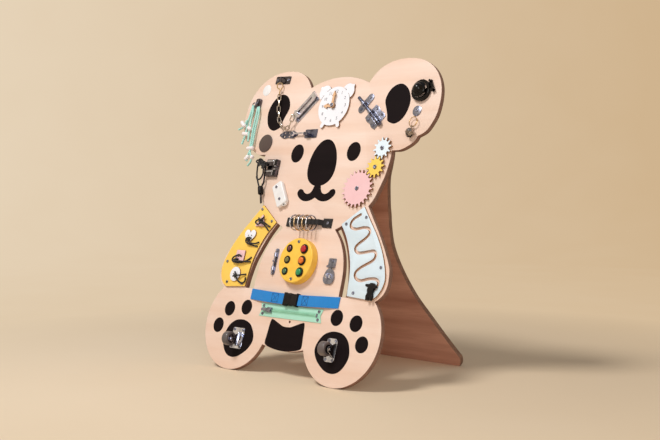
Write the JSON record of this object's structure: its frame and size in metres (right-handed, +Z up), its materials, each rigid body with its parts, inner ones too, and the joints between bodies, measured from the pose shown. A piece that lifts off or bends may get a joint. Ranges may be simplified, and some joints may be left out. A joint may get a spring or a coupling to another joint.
{
  "type": "busy board",
  "caption": "Animal-shaped plywood activity board on a hinged rear panel, with latches, turning gears, clock hands, bells, a buckle, a zip, push buttons and casters.",
  "frame": {"origin": "on the floor, under the middle of the standing board's bounding box", "axes": "+X to the right of someone facing the board, -Y towards them, +Z up"},
  "size_m": [0.534, 0.3798, 0.61],
  "materials": {
    "bell_black": "gloss black enamel",
    "bell_grey": "dark grey enamel",
    "birch": "clear-lacquered birch plywood",
    "black_cord": "braided black lace",
    "black_plastic": "moulded black plastic",
    "black_strap": "black strap",
    "blue_webbing": "woven blue webbing",
    "chrome": "bright chrome plate",
    "green_plastic": "glossy green button cap",
    "mint_cord": "braided mint lace",
    "mirror_acrylic": "mirrored acrylic",
    "orange_plastic": "glossy orange button cap",
    "pale_blue_paint": "satin pale blue paint on plywood",
    "pink_paint": "satin pink paint on plywood",
    "red_plastic": "glossy red button cap",
    "stained_wood": "dark stained plywood",
    "steel": "zinc-plated steel",
    "wheel_nylon": "pale grey nylon",
    "wheel_rubber": "grey rubber",
    "white_paint": "satin white paint on plywood",
    "white_plastic": "moulded white plastic",
    "yellow_paint": "satin yellow paint on plywood",
    "yellow_plastic": "moulded yellow plastic",
    "zip_fabric": "yellow woven zip tape"
  },
  "bodies": {
    "board": {"arm_plate_left": "yellow_paint", "arm_plate_right": "pale_blue_paint", "barrel_bolt_housing": "chrome", "barrel_bolt_keeper": "chrome", "bell_bracket": "bell_grey", "bell_dome": "bell_black", "belt_left": "blue_webbing", "buckle_socket": "black_plastic", "caster_plate_left": "steel", "caster_plate_right": "black_plastic", "catch_case": "chrome", "chain_bracket": "chrome", "chain_track": "chrome", "cheek_mirror": "mirror_acrylic", "clock_plate": "white_paint", "door_chain": "chrome", "front_board": "birch", "hasp_plate": "steel", "hasp_staple": "steel", "hinge_board_leaf": "steel", "hook_base": "chrome", "hook_catch": "chrome", "jingle_tab": "chrome", "key_lanyard": "black_cord", "light_drum": "yellow_plastic", "mint_lace": "mint_cord", "push_catch": "white_plastic", "ring_strap": "black_strap", "slim_bolt_plate": "chrome", "strike_key": "black_plastic", "zip_tape": "zip_fabric"},
    "stand": {"rear_stand": "stained_wood", "hinge_stand_leaf": "steel"},
    "hour_hand": {"hour_hand": "birch"},
    "minute_hand": {"minute_hand": "birch"},
    "pink_gear": {"gear_pink": "pink_paint"},
    "yellow_gear": {"gear_yellow": "yellow_paint"},
    "white_gear": {"gear_white": "white_paint"},
    "chain_button": {"chain_slider": "chrome"},
    "hook": {"hook_arm": "chrome"},
    "barrel_bolt": {"barrel_bolt_rod": "chrome"},
    "slim_bolt": {"slim_bolt_rod": "chrome"},
    "bell_striker": {"bell_lever": "chrome"},
    "jingle": {"jingle_bell": "chrome"},
    "ring_1": {"strap_ring_1": "chrome"},
    "ring_2": {"strap_ring_2": "chrome"},
    "ring_3": {"strap_ring_3": "chrome"},
    "ring_4": {"strap_ring_4": "chrome"},
    "ring_5": {"strap_ring_5": "chrome"},
    "red_button": {"button_red": "red_plastic"},
    "orange_button": {"button_orange": "orange_plastic"},
    "green_button": {"button_green": "green_plastic"},
    "flap": {"hasp_flap": "steel"},
    "figure": {"figure_slider": "black_plastic"},
    "buckle": {"buckle_plug": "black_plastic", "belt_right": "blue_webbing"},
    "zip_pull": {"zip_slider": "steel"},
    "caster": {"caster_fork": "steel"},
    "caster_wheel": {"caster_wheel_left": "wheel_rubber"},
    "fixed_wheel": {"caster_wheel_right": "wheel_nylon"}
  },
  "joints": [
    {"name": "stand_fold", "type": "hinge", "parent": "board", "child": "stand", "pos_m": [0, -0.00187, 0.50271], "axis": [1, 0, 0], "range_deg": [-36.91, 0]},
    {"name": "hour_hand_turn", "type": "hinge", "parent": "board", "child": "hour_hand", "pos_m": [0, -0.012, 0.52661], "axis": [0, -0.9545, 0.2982], "continuous": true},
    {"name": "minute_hand_turn", "type": "hinge", "parent": "board", "child": "minute_hand", "pos_m": [0, -0.01468, 0.52745], "axis": [0, -0.9545, 0.2982], "continuous": true},
    {"name": "pink_gear_spin", "type": "hinge", "parent": "board", "child": "pink_gear", "pos_m": [0.11187, -0.06026, 0.35974], "axis": [0, -0.9545, 0.2982], "continuous": true},
    {"name": "yellow_gear_spin", "type": "hinge", "parent": "board", "child": "yellow_gear", "pos_m": [0.14625, -0.04769, 0.39998], "axis": [0, -0.9545, 0.2982], "continuous": true},
    {"name": "white_gear_spin", "type": "hinge", "parent": "board", "child": "white_gear", "pos_m": [0.15437, -0.0365, 0.4358], "axis": [0, -0.9545, 0.2982], "continuous": true},
    {"name": "chain_slide", "type": "slide", "parent": "board", "child": "chain_button", "axis": [0.7009, 0.2127, 0.6808], "range_m": [0, 0.04], "deforming": ["door_chain"]},
    {"name": "hook_swing", "type": "hinge", "parent": "board", "child": "hook", "pos_m": [-0.10008, -0.03067, 0.47425], "axis": [0, -0.9545, 0.2982], "range_deg": [0, 50]},
    {"name": "barrel_slide", "type": "slide", "parent": "board", "child": "barrel_bolt", "axis": [0.7638, -0.1925, -0.6161], "range_m": [0, 0.026]},
    {"name": "slim_slide", "type": "slide", "parent": "board", "child": "slim_bolt", "axis": [0, 0.2982, 0.9545], "range_m": [0, 0.008]},
    {"name": "striker_swing", "type": "hinge", "parent": "board", "child": "bell_striker", "pos_m": [0.23769, 0.00013, 0.55941], "axis": [0, -0.9545, 0.2982], "range_deg": [0, 15], "stiffness_Nm_per_rad": 0.05},
    {"name": "jingle_swing", "type": "hinge", "parent": "board", "child": "jingle", "pos_m": [0.21707, -0.02334, 0.49336], "axis": [0, -0.9545, 0.2982], "range_deg": [-20, 20]},
    {"name": "ring_1_slide", "type": "slide", "parent": "board", "child": "ring_1", "axis": [1, 0, 0], "range_m": [-0.008, 0.004]},
    {"name": "ring_2_slide", "type": "slide", "parent": "board", "child": "ring_2", "axis": [1, 0, 0], "range_m": [-0.004, 0.004]},
    {"name": "ring_3_slide", "type": "slide", "parent": "board", "child": "ring_3", "axis": [1, 0, 0], "range_m": [-0.004, 0.004]},
    {"name": "ring_4_slide", "type": "slide", "parent": "board", "child": "ring_4", "axis": [1, 0, 0], "range_m": [-0.004, 0.004]},
    {"name": "ring_5_slide", "type": "slide", "parent": "board", "child": "ring_5", "axis": [1, 0, 0], "range_m": [-0.004, 0.008]},
    {"name": "red_press", "type": "slide", "parent": "board", "child": "red_button", "axis": [0, 0.9545, -0.2982], "range_m": [0, 0.003], "stiffness_N_per_m": 350},
    {"name": "orange_press", "type": "slide", "parent": "board", "child": "orange_button", "axis": [0, 0.9545, -0.2982], "range_m": [0, 0.003], "stiffness_N_per_m": 350},
    {"name": "green_press", "type": "slide", "parent": "board", "child": "green_button", "axis": [0, 0.9545, -0.2982], "range_m": [0, 0.003], "stiffness_N_per_m": 350},
    {"name": "flap_open", "type": "hinge", "parent": "board", "child": "flap", "pos_m": [0.08491, -0.10836, 0.21384], "axis": [1, 0, 0], "range_deg": [-110, 0]},
    {"name": "figure_slide", "type": "slide", "parent": "board", "child": "figure", "axis": [0.7415, 0.2001, 0.6404], "range_m": [0, 0.008]},
    {"name": "buckle_release", "type": "slide", "parent": "board", "child": "buckle", "axis": [1, 0, 0], "range_m": [0, 0.01], "deforming": ["belt_right"]},
    {"name": "zip_slide", "type": "slide", "parent": "board", "child": "zip_pull", "axis": [1, 0, 0], "range_m": [0, 0.118]},
    {"name": "caster_swivel", "type": "hinge", "parent": "board", "child": "caster", "pos_m": [-0.1311, -0.1528, 0.06154], "axis": [0, -0.9545, 0.2982], "continuous": true},
    {"name": "caster_wheel_spin", "type": "hinge", "parent": "caster", "child": "caster_wheel", "pos_m": [-0.1311, -0.17586, 0.06351], "axis": [1, 0, 0], "continuous": true},
    {"name": "fixed_wheel_spin", "type": "hinge", "parent": "board", "child": "fixed_wheel", "pos_m": [0.12789, -0.16807, 0.06966], "axis": [1, 0, 0], "continuous": true}
  ],
  "couplings": [
    {"joint": "yellow_gear_spin", "follows": "pink_gear_spin", "ratio": -1.8333},
    {"joint": "white_gear_spin", "follows": "pink_gear_spin", "ratio": 1.8333}
  ]
}
